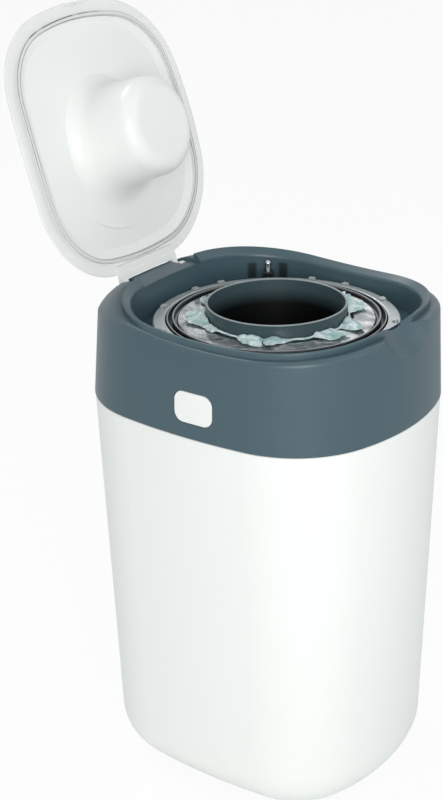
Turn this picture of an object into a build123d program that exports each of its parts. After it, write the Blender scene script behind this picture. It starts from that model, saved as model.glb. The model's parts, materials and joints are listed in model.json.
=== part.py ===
from build123d import *
import os
from math import cos, hypot, radians, sin, sqrt, tan

# Nappy bin with a tilting head, a hinged lid with a plunger and a film cassette on a turntable.
# Millimetres. Origin on the floor under the middle of the body, +Z up, -Y towards the finger scoop
# at the front, +Y towards the hinges at the back. The lid stands open.


class Outline:
    # A closed outline of eight tangent arcs, the same on both sides of x = 0
    def __init__(self, half_width, side_y, front, back, side_r, front_r, back_r, front_corner_r, back_corner_r):
        self.half_width = half_width
        self.side_y = side_y
        self.front = front
        self.back = back
        self.side = (half_width - side_r, side_y, side_r)
        self.nose = (0, front_r - front, front_r)
        self.tail = (0, back - back_r, back_r)
        self.front_corner = inner_circle(self.side, self.nose, front_corner_r)
        self.back_corner = inner_circle(self.side, self.tail, back_corner_r)

    # The outline moved inwards by inset, as a face at height z
    def face(self, inset, z):
        front_in = touch(self.nose, self.front_corner, inset)
        front_out = touch(self.side, self.front_corner, inset)
        back_in = touch(self.tail, self.back_corner, inset)
        back_out = touch(self.side, self.back_corner, inset)
        front_mid = corner_middle(self.nose, self.side, self.front_corner, inset)
        back_mid = corner_middle(self.tail, self.side, self.back_corner, inset)
        side_mid = (self.half_width - inset, self.side_y)
        right = [(front_in, front_mid, front_out), (front_out, side_mid, back_out), (back_out, back_mid, back_in)]
        left = [tuple(flipped(point) for point in reversed(arc)) for arc in reversed(right)]
        front = (flipped(front_in), (0, inset - self.front), front_in)
        back = (back_in, (0, self.back - inset), flipped(back_in))
        arcs = [front] + right + [back] + left
        return Face(Wire([ThreePointArc(*[(x, y, z) for x, y in arc]) for arc in arcs]))


def flipped(point):
    return (-point[0], point[1])


# The circle of the given radius that touches two larger circles from inside, on the +X side
def inner_circle(first, second, radius):
    gap = hypot(second[0] - first[0], second[1] - first[1])
    reach_1 = first[2] - radius
    reach_2 = second[2] - radius
    along = (gap**2 + reach_1**2 - reach_2**2) / (2 * gap)
    across = sqrt(reach_1**2 - along**2)
    ux = (second[0] - first[0]) / gap
    uy = (second[1] - first[1]) / gap
    points = [(first[0] + ux * along - s * uy * across, first[1] + uy * along + s * ux * across) for s in (-1, 1)]
    x, y = max(points)
    return (x, y, radius)


# The direction from a large circle's centre to a corner circle's centre
def direction(large, corner):
    dx = corner[0] - large[0]
    dy = corner[1] - large[1]
    length = hypot(dx, dy)
    return (dx / length, dy / length)


def touch(large, corner, inset):
    dx, dy = direction(large, corner)
    return (large[0] + dx * (large[2] - inset), large[1] + dy * (large[2] - inset))


def corner_middle(first, second, corner, inset):
    ax, ay = direction(first, corner)
    bx, by = direction(second, corner)
    length = hypot(ax + bx, ay + by)
    reach = (corner[2] - inset) / length
    return (corner[0] + (ax + bx) * reach, corner[1] + (ay + by) * reach)


# ---- Body: the tub and the head's skirt ----
body = Outline(
    half_width=113.5,
    side_y=-14.7,
    front=135.0,
    back=135.0,
    side_r=490.0,
    front_r=182.0,
    back_r=640.0,
    front_corner_r=80.0,
    back_corner_r=87.0,
)
tub_height = 331.7
tub_step = 0.4  # the tub stands this far inside the head's skirt
tub_taper = 11.0  # how far each side leans in, from the seam to the floor
tub_bottom_r = 42.0
tub_wall = 2.4
tub_floor = 3.0
seam_edge_r = 0.8  # the rounding of both edges at the seam
tub_rim_depth = 10.0  # the thick rim below the seam
spigot_inset = 3.3
spigot_wall = 2.0
spigot_height = 9.3

# ---- Head: skirt, shoulder, lip and well ----
seam_gap = 0.3
skirt_z = tub_height + seam_gap
head_top_z = tub_height + 108.3  # above everything in the head, where its cuts end
head_top = Outline(  # what the head's sides would lean in to at head_top_z
    half_width=110.0,
    side_y=-14.7,
    front=131.0,
    back=130.0,
    side_r=490.0,
    front_r=182.0,
    back_r=640.0,
    front_corner_r=80.0,
    back_corner_r=98.0,
)
shell_wall = 2.5
shoulder_r = 4.5
crown_low_y = -12.0  # the rim's lowest point
crown_low_z = tub_height + 72.4
crown_front_r = 1800.0  # the rim's curve in side view, before its lowest point
crown_rear_r = 520.0  # and behind it
crown_bend_y = -80.0
crown_rear_y = 66.0
crest_y = 101.0
crest_rise = 9.6  # the rim's highest point above its lowest
crown_end = 150.0
rear = Outline(  # the block whose rounded top edge makes the head's rounded back
    half_width=122.0,
    side_y=-14.7,
    front=131.0,
    back=132.9,
    side_r=490.0,
    front_r=182.0,
    back_r=640.0,
    front_corner_r=80.0,
    back_corner_r=103.0,
)
rear_front_y = 5.0
rear_low_z = tub_height + 53.3
rear_top_z = tub_height + 82.8
rear_edge_r = 30.0
lip_height = 5.0
lip_root = 12.0  # how far the lip's ring reaches down into the shoulder
lip_fall = 4.7  # the lip's top slopes down to the well by this much
lip_crest_r = 1.3
well_round_r = 4.0  # the rounding between the slope and the well's wall

# ---- Mouth: the lid's edge, and the well and lip inside and outside it ----
mouth = Outline(
    half_width=104.0,
    side_y=-3.0,
    front=117.5,
    back=97.5,
    side_r=550.0,
    front_r=230.0,
    back_r=290.0,
    front_corner_r=68.0,
    back_corner_r=75.0,
)
well_inset = 3.5  # the well's wall lies this far inside the lid's edge
crest_offset = 2.0  # the lip's crest lies this far outside the lid's edge
crease_offset = 3.6  # the lip ends this far outside the lid's edge

# ---- Turntable axis and the heights round it ----
turn_y = -10.0
plate_z = tub_height + 49.3
plate_wall = 3.0
plate_top_z = plate_z + plate_wall
plate_gap = 0.5
cup_r = 90.5
cup_wall = 2.5
ledge_z = tub_height + 9.3
ledge_wall = 2.5
ledge_inner_r = 62.0
running_gap = 0.3

glide_inner_r = 76.0
glide_outer_r = 84.0
glide_height = 3.3

table_floor_z = ledge_z + ledge_wall + glide_height + running_gap
table_floor_wall = 2.5
table_floor_inner_r = 62.4
sleeve_r = 80.4
sleeve_wall = 1.6
sleeve_top_z = tub_height + 66.5
table_rim_r = 86.5
table_rim_wall = 1.4
table_rim_top_z = tub_height + 65.6
ring_edge_r = 0.5  # the rounding of the two rings' tops
groove_z = tub_height + 60.1
groove_wall = 2.4
tooth_count = 36
tooth_tip_r = 89.2
tooth_z = tub_height + 44.5
tooth_height = 4.0
tooth_slope = 0.82  # share of the pitch that the tooth's long flank takes

deck_gap = 0.8
deck_outer_r = 99.0
deck_top_r = 97.0
deck_top_z = tub_height + 65.1
deck_edge_z = tub_height + 63.5
deck_wall = 2.0
deck_edge_r = 1.0
clip_angles = (144, 110, 80, 64, 16, -3, -32, -63, -95, -128, 176)
clip_r = 93.6
clip_width = 5.0
clip_stem = 2.2
clip_nose = 3.9
clip_nose_height = 0.9
clip_gap = 0.6
clip_lift = 0.3  # between the deck and the nose

# ---- Cassette and collar ----
trough_gap = 0.4  # between the trough and the sleeve round it
trough_wall = 1.6
trough_floor = 2.0
trough_inner_r = 57.6
trough_inner_top_z = tub_height + 61.3
trough_outer_top_z = tub_height + 62.5
film_gap = 0.3
film_top_z = tub_height + 58.3
cover_top_z = tub_height + 64.3
cover_wall = 1.8
cover_rim = 1.7
cover_edge_r = 0.8
collar_top_z = tub_height + 77.1
collar_bottom_z = tub_height + 8.3
collar_top_r = 53.8  # the bore at the top
collar_bottom_r = 50.6
collar_wall = 2.0
collar_edge_r = 0.9
collar_flange_r = 59.2
collar_flange_wall = 1.8
tuft_outer_r = 71.0
tuft_height = 7.0
tuft_edge_height = 2.4

# ---- Click pawl under the plate ----
pawl_angle = 38.3  # where its nose meets the teeth, seen from +X
pawl_pivot_angle = 12.0
pawl_pivot_r = 101.0
pawl_arm_r = 104.0
pawl_arm_width = 5.0
pawl_gap = 0.3
pawl_pin_r = 1.5
pawl_boss_r = 3.6
pawl_nose_width = 4.0
peg_r = 2.6
peg_root_r = 1.5  # the part of the peg set into the foot
peg_root_length = 5.0
peg_place_r = 106.2
peg_foot_radial = 5.4
peg_foot_width = 9.0
peg_foot_top_z = tub_height + 65.8
peg_top_z = tub_height + 75.6
pawl_slot_gap = 3.0
groove_offset = 13.0  # the well wall's two upright recesses stand this far each side of the peg
groove_width = 8.0
groove_depth = 1.2
groove_low_z = tub_height + 58.3
groove_high_z = tub_height + 71.8

# ---- Side buttons and latches ----
button_y = -10.8
button_z = tub_height + 25.3
button_width = 35.0
button_height = 24.6
button_corner_r = 8.0
button_gap = 0.5
button_edge_r = 0.6
button_proud = 0.3
button_flange = 2.5
button_flange_wall = 1.6
flange_gap = 0.4
post_r = 2.6
post_length = 6.0
latch_half_width = 9.0
latch_wall = 2.2
latch_seat_gap = 0.1
latch_top_z = tub_height + 34.3
latch_foot_z = tub_height + 2.8
latch_clear = 0.3
latch_arm_stand = 0.9
latch_step_gap = 1.5
latch_nose_half = 7.0
latch_nose_z = tub_height + 3.5
latch_nose_height = 2.8
catch_half_width = 8.5
catch_height = 4.5
spring_inner_r = 3.7
spring_wall = 1.0
spring_boss_r = 3.2
spring_boss_length = 4.0

# ---- Rear hinge of the head ----
rear_hinge_clear = 5.2  # from the body's back face to the pin's axis
rear_hinge_y = body.back + rear_hinge_clear
rear_hinge_z = tub_height + seam_gap
rear_knuckle_r = 4.2
rear_hinge_x = 29.0
rear_ear_width = 10.0
rear_lug_width = 5.0
rear_ear_gap = 0.4
rear_pin_r = 2.0
pin_gap = 0.1
rear_web_depth = 10.0

# ---- Lid ----
lid_open_angle = 109.3
lid_gap = 0.3  # between the lid's edge and the lip's slope under it
lid_flange_wall = 2.2
lid_flange_r = 0.8
lid_hinge_y = 107.5
lid_hinge_z = tub_height + 75.3
pillow_inset = 11.0
pillow_height = 8.5
pillow_wall = 2.2
pillow_edge_r = 5.0
seal_outer_inset = 10.4
seal_inner_inset = 13.2
seal_drop = 1.5
panel_inset = 13.7
panel_face = 0.3  # the panel's border stands this far above the flange's underside
panel_top = 6.0
panel_recess_inset = 21.0
panel_recess = 3.4
panel_edge_r = 1.5
panel_slope = 7.0  # the width of the slope round the recess
panel_slope_drop = 2.7
plunger_y = -9.0
plunger_end_z = tub_height + 22.1
plunger_end_r = 38.0
plunger_base_r = 41.5
plunger_base_z = tub_height + 79.3
plunger_edge_r = 12.0
plunger_flare_r = 18.0
pad_r = 72.0  # the pad round the plunger rises outwards to here
pad_rise = 3.7
plunger_wall = 2.4
catch_tab_half = 8.0
catch_tab_wall = 1.5
catch_tab_back = 2.2  # from the lid's front edge back to the tab's rear face
catch_tab_z = tub_height + 70.3
catch_slot_gap = 0.45
catch_slot_z = tub_height + 64.8

# ---- Lid hinge in the head ----
shelf_z = tub_height + 79.8
pocket_half_width = 37.5
pocket_back_y = 122.8
pocket_block_x = 46.0
pocket_block_z = tub_height + 67.3
pocket_block_y = 128.0
leaf_half_width = 35.0
leaf_gap = 0.4
leaf_front_y = 88.6
leaf_back_y = 100.0
arm_width = 6.0
lid_knuckle_r = 4.0
lid_pin_r = 1.8
lid_pin_reach = 6.0  # into the head at both ends
knuckle_slot_gap = 0.6
knuckle_side_gap = 2.6  # on the inner side of each arm
knuckle_slot_z = tub_height + 69.1
rib_slot_length = 20.0
rib_slot_width = 1.6
rib_slot_depth = 0.8

# ---- Finger scoop at the front ----
scoop_r = 60.0
scoop_top_y = 115.0
scoop_bottom_z = tub_height + 57.3

# ---- Screws and film cutter ----
screw_front_x = 45.0
screw_front_inset = 15.5
screw_rear_x = 60.0
screw_rear_inset = 25.0
boss_r = 4.0
screw_r = 1.5
screw_gap = 0.05
screw_head_r = 3.2
screw_head_height = 2.2
screw_depth = 11.0
cutter_half_length = 18.0
cutter_y = -89.0
cutter_width = 12.0
cutter_height = 12.0
cutter_slot = 3.0
cutter_slot_depth = 7.0
cutter_end = 8.0
blade_wall = 0.8
blade_height = 6.8
blade_gap = 0.1


# ---- Shapes used by several pieces ----
def prism(outline, inset, low_z, high_z):
    return extrude(outline.face(inset, low_z), amount=high_z - low_z, dir=(0, 0, 1))


def tapered(outline, low_inset, low_z, high_inset, high_z):
    return loft([outline.face(low_inset, low_z), outline.face(high_inset, high_z)], ruled=True)


def box(x, y, z):
    size = (x[1] - x[0], y[1] - y[0], z[1] - z[0])
    return Pos((x[0] + x[1]) / 2, (y[0] + y[1]) / 2, (z[0] + z[1]) / 2) * Box(*size)


def rod(centre, radius, low, high, axis="Z"):
    turn = {"X": Rot(Y=90), "Y": Rot(X=-90), "Z": Rot()}[axis]
    middle = {"X": ((low + high) / 2, 0, 0), "Y": (0, (low + high) / 2, 0), "Z": (0, 0, (low + high) / 2)}[axis]
    place = {"X": (0, *centre), "Y": (centre[0], 0, centre[1]), "Z": (*centre, 0)}[axis]
    return Pos(*place) * Pos(*middle) * turn * Cylinder(radius, high - low)


def both_sides(shape):
    return [shape, mirror(shape, about=Plane.YZ)]


# A ring or cup turned about an upright axis at the given y, from a section of (radius, height) points
def turned(points, axis_y, corner_radii=None):
    path = [(radius, 0, height) for radius, height in points]
    if corner_radii:
        section = FilletPolyline(*path, radius=corner_radii, close=True)
    else:
        section = Polyline(*path, close=True)
    return Pos(0, axis_y, 0) * revolve(make_face(section), axis=Axis.Z)


def ring(inner_r, outer_r, low_z, high_z, axis_y=turn_y):
    return turned([(inner_r, low_z), (outer_r, low_z), (outer_r, high_z), (inner_r, high_z)], axis_y)


# A place on a circle round the turntable's axis
def round_place(angle, radius):
    return (radius * cos(radians(angle)), turn_y + radius * sin(radians(angle)))


# Turns a shape made at angle 0 to an angle round the turntable's axis
def at_angle(shape, angle):
    return Pos(0, turn_y, 0) * Rot(Z=angle) * shape


def crown_height(y):
    return crown_low_z + (y - crown_low_y) ** 2 / (2 * (crown_front_r if y < crown_low_y else crown_rear_r))


# Everything below the rim's curved crown, moved up by rise
def under_crown(rise):
    points = [(y, crown_height(y)) for y in (-crown_end, crown_bend_y, crown_low_y, crown_rear_y)]
    points += [(y, crown_low_z + crest_rise) for y in (crest_y, crown_end)]
    top = Spline(*[(-crown_end, y, z + rise) for y, z in points])
    corners = [top @ 1, (-crown_end, crown_end, 0), (-crown_end, -crown_end, 0), top @ 0]
    return extrude(make_face(top + Polyline(*corners)), amount=2 * crown_end, dir=(1, 0, 0))


def top_edges(shape):
    return shape.faces().sort_by(Axis.Z)[-1].edges()


def bottom_edges(shape):
    return shape.faces().sort_by(Axis.Z)[0].edges()


# The edges of a plate's underside, at place 0, or of its top, at place 1
def plate_edges(shape, place):
    broad = shape.faces().sort_by(SortBy.AREA)[-2:]
    return broad.sort_by(Axis.Z)[place].edges()


# Slopes the edge of the hole in the lowest face that has one, at place 0, or in the highest, at place -1
def hole_slope(shape, place, width, drop):
    holed = shape.faces().filter_by(lambda face: len(face.inner_wires()) > 0).sort_by(Axis.Z)[place]
    return chamfer(holed.inner_wires()[0].edges(), length=width, length2=drop, reference=holed)


# How far the tub's outside lies inside the body outline at a height
def tub_inset(z):
    return tub_step + tub_taper * (1 - z / tub_height)


# The head's leaning sides moved inwards by inset, before its crown is cut
def head_block(inset):
    return loft([body.face(inset, skirt_z), head_top.face(inset, head_top_z)], ruled=True)


# A size of the leaning head at a height, from its values at skirt_z and head_top_z
def leaned(low, high, z):
    return low + (high - low) * (z - skirt_z) / (head_top_z - skirt_z)


# A layer of the head's wall between two insets
def wall_layer(outer_inset, inner_inset):
    return head_block(outer_inset) - head_block(inner_inset)


# The head's block under its crown and its rounded back, moved inwards by inset
def head_form(inset):
    form = head_block(inset) & under_crown(-inset)
    form = fillet(top_edges(form), shoulder_r - inset)
    rounded = prism(rear, inset, rear_low_z - rear_edge_r, rear_top_z - inset)
    rounded = fillet(top_edges(rounded), rear_edge_r - inset)
    behind = box((-crown_end, crown_end), (rear_front_y, crown_end), (rear_low_z, head_top_z))
    return form - (behind - rounded)


def scoop_ball(radius):
    top = (-scoop_top_y, crown_height(-scoop_top_y) + lip_height)
    bottom = (-leaned(body.front, head_top.front, scoop_bottom_z), scoop_bottom_z)
    half = hypot(top[0] - bottom[0], top[1] - bottom[1]) / 2
    out = sqrt(scoop_r**2 - half**2) / (2 * half)
    y = (top[0] + bottom[0]) / 2 - (top[1] - bottom[1]) * out
    z = (top[1] + bottom[1]) / 2 + (top[0] - bottom[0]) * out
    return Pos(0, y, z) * Sphere(radius)


# Side panels of the buttons, as a rounded bar right across the head
def button_bar(grow):
    corner = button_corner_r + grow
    face = RectangleRounded(button_width + 2 * grow, button_height + 2 * grow, corner)
    bar = extrude(Plane.YZ * face, amount=body.half_width + 10, both=True)
    return Pos(0, button_y, button_z) * bar


def open_lid(shape):
    return Pos(0, lid_hinge_y, lid_hinge_z) * Rot(X=-lid_open_angle) * Pos(0, -lid_hinge_y, -lid_hinge_z) * shape


def screw_places():
    places = [(screw_front_x, screw_front_inset - body.front), (screw_rear_x, body.back - screw_rear_inset)]
    return [(side * x, y) for x, y in places for side in (-1, 1)]


# ---- Tub ----
def tub_shell():
    outer = tapered(body, tub_inset(0), 0, tub_inset(tub_height), tub_height)
    outer = fillet(bottom_edges(outer), tub_bottom_r)
    outer = fillet(top_edges(outer), seam_edge_r)
    rim_z = tub_height - tub_rim_depth
    inner = tapered(body, tub_inset(tub_floor) + tub_wall, tub_floor, tub_inset(rim_z) + tub_wall, rim_z)
    inner = fillet(bottom_edges(inner), tub_bottom_r - tub_wall)
    spigot_top = tub_height + spigot_height
    spigot = prism(body, spigot_inset, rim_z, spigot_top)
    bore = prism(body, spigot_inset + spigot_wall, rim_z - tub_wall, spigot_top)
    shell = outer + spigot - inner - bore
    reach = body.half_width
    catch_z = (latch_nose_z - running_gap, latch_nose_z - running_gap + catch_height)
    shell -= box((-reach, reach), (button_y - catch_half_width, button_y + catch_half_width), catch_z)
    for side in (-1, 1):
        x = (side * rear_hinge_x - rear_ear_width / 2, side * rear_hinge_x + rear_ear_width / 2)
        web_y = (body.back - tub_wall, rear_hinge_y)
        shell += box(x, web_y, (tub_height - rear_web_depth, tub_height))
        shell += rod((rear_hinge_y, rear_hinge_z), rear_knuckle_r, *x, axis="X")
        shell -= rod((rear_hinge_y, rear_hinge_z), rear_pin_r, *x, axis="X")
    return shell


def rear_hinge_pins():
    half = rear_ear_width / 2 + rear_ear_gap + rear_lug_width
    places = [side * rear_hinge_x for side in (-1, 1)]
    return [rod((rear_hinge_y, rear_hinge_z), rear_pin_r, x - half, x + half, axis="X") for x in places]


# ---- Head ----
def head_shell():
    outer = fillet(bottom_edges(head_form(0)), seam_edge_r)
    hollow = head_form(shell_wall)
    hollow -= prism(mouth, well_inset - shell_wall, plate_top_z, head_top_z)
    hollow -= scoop_ball(scoop_r + shell_wall)
    block_x = (-pocket_block_x, pocket_block_x)
    hollow -= box(block_x, (leaf_front_y, pocket_block_y), (pocket_block_z, head_top_z))
    for place in screw_places():
        hollow -= rod(place, boss_r, plate_top_z, head_top_z)
    shell = with_well(outer + rim_lip()) - hollow
    shell -= scoop_ball(scoop_r)
    shell -= catch_slot()
    shell -= button_bar(button_gap)
    shell = shell - lid_pocket() - pawl_grooves()
    for place in screw_places():
        shell -= rod(place, screw_r + screw_gap, plate_top_z, plate_top_z + screw_depth)
    return shell + rear_lugs() - rear_pin_bores()


def rim_lip():
    lip = prism(mouth, -crease_offset, crown_low_z - lip_root, head_top_z) & under_crown(lip_height)
    return fillet(top_edges(lip), lip_crest_r)


# Cuts the well, with a slope from the lip's crest down to it that rounds over into its wall
def with_well(shape):
    shape -= prism(mouth, well_inset, plate_top_z, head_top_z)
    shape = hole_slope(shape, -1, well_inset + crest_offset, lip_fall)
    inside = prism(mouth, well_inset - crest_offset / 4, crown_low_z - lip_fall, head_top_z)
    inside -= prism(mouth, well_inset + crest_offset / 4, crown_low_z - lip_fall, head_top_z)
    wall_tops = [edge for edge in shape.edges() if inside.is_inside(edge @ 0.5)]
    return fillet(wall_tops, well_round_r)


def catch_slot():
    rear = catch_tab_back + catch_slot_gap - mouth.front
    front = rear - catch_tab_wall - 2 * catch_slot_gap
    half = catch_tab_half + 2 * catch_slot_gap
    return box((-half, half), (front, rear), (catch_slot_z, head_top_z))


def lid_pocket():
    lean = (head_top_z - shelf_z) * tan(radians(lid_open_angle - 90))
    front_y = mouth.back - well_inset - shell_wall
    points = [(front_y, shelf_z), (pocket_back_y, shelf_z), (pocket_back_y + lean, head_top_z), (front_y, head_top_z)]
    face = make_face(Polyline(*[(0, y, z) for y, z in points], close=True))
    pocket = extrude(face, amount=pocket_half_width, both=True, dir=(1, 0, 0))
    slot_y = (lid_hinge_y - lid_knuckle_r - knuckle_slot_gap, pocket_back_y)
    inner_x = leaf_half_width - arm_width - knuckle_side_gap
    slot = box((inner_x, pocket_half_width), slot_y, (knuckle_slot_z, shelf_z + 1))
    pin = rod((lid_hinge_y, lid_hinge_z), lid_pin_r, inner_x - lid_pin_reach, pocket_half_width + lid_pin_reach, axis="X")
    for shape in both_sides(slot) + both_sides(pin):
        pocket += shape
    return pocket


def pawl_grooves():
    x = (pawl_arm_r, body.half_width + shoulder_r)
    grooves = None
    for side in (-1, 1):
        middle = side * groove_offset
        groove = box(x, (middle - groove_width / 2, middle + groove_width / 2), (groove_low_z, groove_high_z))
        groove = at_angle(groove, pawl_angle)
        grooves = groove if grooves is None else grooves + groove
    return grooves & prism(mouth, well_inset - groove_depth, plate_top_z, head_top_z)


def rear_lugs():
    lugs = None
    offset = rear_ear_width / 2 + rear_ear_gap
    web_y = (body.back - shell_wall + tub_step, rear_hinge_y)
    for side in (-1, 1):
        for end in (-1, 1):
            near = side * rear_hinge_x + end * offset
            x = sorted((near, near + end * rear_lug_width))
            lug = box(x, web_y, (skirt_z, skirt_z + rear_web_depth))
            lug += rod((rear_hinge_y, rear_hinge_z), rear_knuckle_r, *x, axis="X")
            lugs = lug if lugs is None else lugs + lug
    return lugs


def rear_pin_bores():
    half = rear_ear_width / 2 + rear_ear_gap + rear_lug_width
    bores = None
    for side in (-1, 1):
        x = side * rear_hinge_x
        bore = rod((rear_hinge_y, rear_hinge_z), rear_pin_r + pin_gap, x - half, x + half, axis="X")
        bores = bore if bores is None else bores + bore
    return bores


def head_frame():
    reach = (-body.back, body.back)
    frame = head_block(shell_wall + plate_gap) & box(reach, reach, (plate_z, plate_top_z))
    frame -= rod((0, turn_y), cup_r, plate_z, plate_top_z)
    frame += ring(cup_r, cup_r + cup_wall, ledge_z, plate_top_z)
    frame += ring(ledge_inner_r, cup_r + cup_wall, ledge_z, ledge_z + ledge_wall)
    boss = rod((button_y, button_z), spring_boss_r, cup_r + cup_wall / 2, cup_r + cup_wall + spring_boss_length, axis="X")
    for shape in both_sides(boss):
        frame += shape
    for place in screw_places():
        frame -= rod(place, screw_r + pin_gap, plate_z, plate_top_z)
    window_half = pawl_nose_width + pawl_slot_gap
    window_x = (cup_r - 1, pawl_arm_r + pawl_arm_width)
    frame -= at_angle(box(window_x, (-window_half, window_half), (tooth_z - 1, plate_z)), pawl_angle)
    slot_half = peg_foot_width / 2 + pawl_slot_gap
    slot_x = (peg_place_r - peg_foot_radial / 2 - 1, peg_place_r + peg_foot_radial / 2 + pawl_slot_gap)
    frame -= at_angle(box(slot_x, (-slot_half, slot_half), (plate_z, plate_top_z)), pawl_angle)
    frame -= rod(round_place(pawl_pivot_angle, pawl_pivot_r), pawl_pin_r, plate_z, plate_top_z)
    return frame


def frame_screws():
    screws = []
    for place in screw_places():
        shank = rod(place, screw_r, plate_z, plate_top_z + screw_depth - 1)
        screws.append(shank + rod(place, screw_head_r, plate_z - screw_head_height, plate_z))
    return screws


def deck_ring():
    inner_r = table_rim_r + deck_gap
    points = [
        (deck_outer_r, plate_top_z),
        (deck_top_r, deck_edge_z),
        (inner_r, deck_top_z),
        (inner_r, deck_top_z - 2 * deck_wall),
        (inner_r + deck_wall, deck_top_z - 2 * deck_wall),
        (inner_r + deck_wall, deck_top_z - deck_wall),
        (deck_top_r - deck_wall, deck_edge_z - deck_wall),
        (deck_outer_r - deck_wall, plate_top_z),
    ]
    deck = turned(points, turn_y, [0, deck_edge_r, deck_edge_r, 0, 0, 0, 0, 0])
    half = clip_width / 2 + clip_gap
    slot = box((clip_r - clip_stem / 2 - clip_gap, clip_r + clip_stem / 2 + clip_gap), (-half, half), (plate_top_z, deck_top_z + 1))
    for angle in clip_angles:
        deck -= at_angle(slot, angle)
    return deck


def deck_clips():
    half = clip_width / 2
    low_x = clip_r - clip_stem / 2
    nose_z = (deck_top_z + clip_lift, deck_top_z + clip_lift + clip_nose_height)
    stem = box((low_x, low_x + clip_stem), (-half, half), (plate_top_z, nose_z[1]))
    clip = stem + box((low_x + clip_stem - clip_nose, low_x + clip_stem), (-half, half), nose_z)
    return [at_angle(clip, angle) for angle in clip_angles]


def glide_ring():
    low_z = ledge_z + ledge_wall
    return ring(glide_inner_r, glide_outer_r, low_z, low_z + glide_height)


# ---- Turntable ----
def turntable():
    floor_top = table_floor_z + table_floor_wall
    sleeve_outer_r = sleeve_r + sleeve_wall
    rim_inner_r = table_rim_r - table_rim_wall
    points = [
        (table_floor_inner_r, table_floor_z),
        (sleeve_outer_r, table_floor_z),
        (sleeve_outer_r, groove_z - groove_wall),
        (rim_inner_r, groove_z - groove_wall),
        (rim_inner_r, tooth_z),
        (table_rim_r, tooth_z),
        (table_rim_r, table_rim_top_z),
        (rim_inner_r, table_rim_top_z),
        (rim_inner_r, groove_z),
        (sleeve_outer_r, groove_z),
        (sleeve_outer_r, sleeve_top_z),
        (sleeve_r, sleeve_top_z),
        (sleeve_r, floor_top),
        (table_floor_inner_r, floor_top),
    ]
    radii = [ring_edge_r if height in (sleeve_top_z, table_rim_top_z) else 0 for _, height in points]
    return turned(points, turn_y, radii) + ratchet_teeth()


def ratchet_teeth():
    pitch = 360 / tooth_count
    points = []
    for tooth in range(tooth_count):
        start = tooth * pitch + pawl_angle - pitch * tooth_slope
        points.append(round_place(start, table_rim_r))
        points.append(round_place(start + pitch * tooth_slope, tooth_tip_r))
    face = make_face(Polyline(*[(x, y, tooth_z) for x, y in points], close=True))
    teeth = extrude(face, amount=tooth_height, dir=(0, 0, 1))
    return teeth - rod((0, turn_y), table_rim_r - table_rim_wall, tooth_z, tooth_z + tooth_height)


def cassette_tub():
    floor_z = table_floor_z + table_floor_wall
    outer_r = sleeve_r - trough_gap
    points = [
        (trough_inner_r, floor_z),
        (outer_r, floor_z),
        (outer_r, trough_outer_top_z),
        (outer_r - trough_wall, trough_outer_top_z),
        (outer_r - trough_wall, floor_z + trough_floor),
        (trough_inner_r + trough_wall, floor_z + trough_floor),
        (trough_inner_r + trough_wall, trough_inner_top_z),
        (trough_inner_r, trough_inner_top_z),
    ]
    return turned(points, turn_y)


def film_pack():
    floor_z = table_floor_z + table_floor_wall + trough_floor
    inner_r = trough_inner_r + trough_wall + film_gap
    outer_r = sleeve_r - trough_gap - trough_wall - film_gap
    return ring(inner_r, outer_r, floor_z + film_gap, film_top_z)


def cassette_cover():
    inner_r = trough_inner_r + trough_wall + 2 * film_gap
    outer_r = sleeve_r - trough_gap - trough_wall - 2 * film_gap
    low_z = film_top_z + film_gap
    points = [
        (inner_r, cover_top_z - cover_wall),
        (outer_r - cover_rim, cover_top_z - cover_wall),
        (outer_r - cover_rim, low_z),
        (outer_r, low_z),
        (outer_r, cover_top_z),
        (inner_r, cover_top_z),
    ]
    return turned(points, turn_y, [0, 0, 0, 0, cover_edge_r, cover_edge_r])


def collar():
    flange_z = trough_inner_top_z
    wall_at_flange = collar_bottom_r + (collar_top_r - collar_bottom_r) * (flange_z - collar_bottom_z) / (
        collar_top_z - collar_bottom_z
    )
    outer_r = wall_at_flange + collar_wall
    points = [
        (collar_bottom_r, collar_bottom_z),
        (collar_bottom_r + collar_wall, collar_bottom_z),
        (outer_r, flange_z),
        (collar_flange_r, flange_z),
        (collar_flange_r, flange_z + collar_flange_wall),
        (outer_r, flange_z + collar_flange_wall),
        (collar_top_r + collar_wall, collar_top_z),
        (collar_top_r, collar_top_z),
    ]
    return turned(points, turn_y, [0, 0, 0, 0, 0, 0, collar_edge_r, collar_edge_r])


def film_tufts():
    inner_r = collar_top_r + collar_wall + film_gap
    low_z = cover_top_z + film_gap
    points = [
        (inner_r, low_z),
        (tuft_outer_r, low_z),
        (tuft_outer_r, low_z + tuft_edge_height),
        (inner_r, low_z + tuft_height),
    ]
    return turned(points, turn_y)


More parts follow.
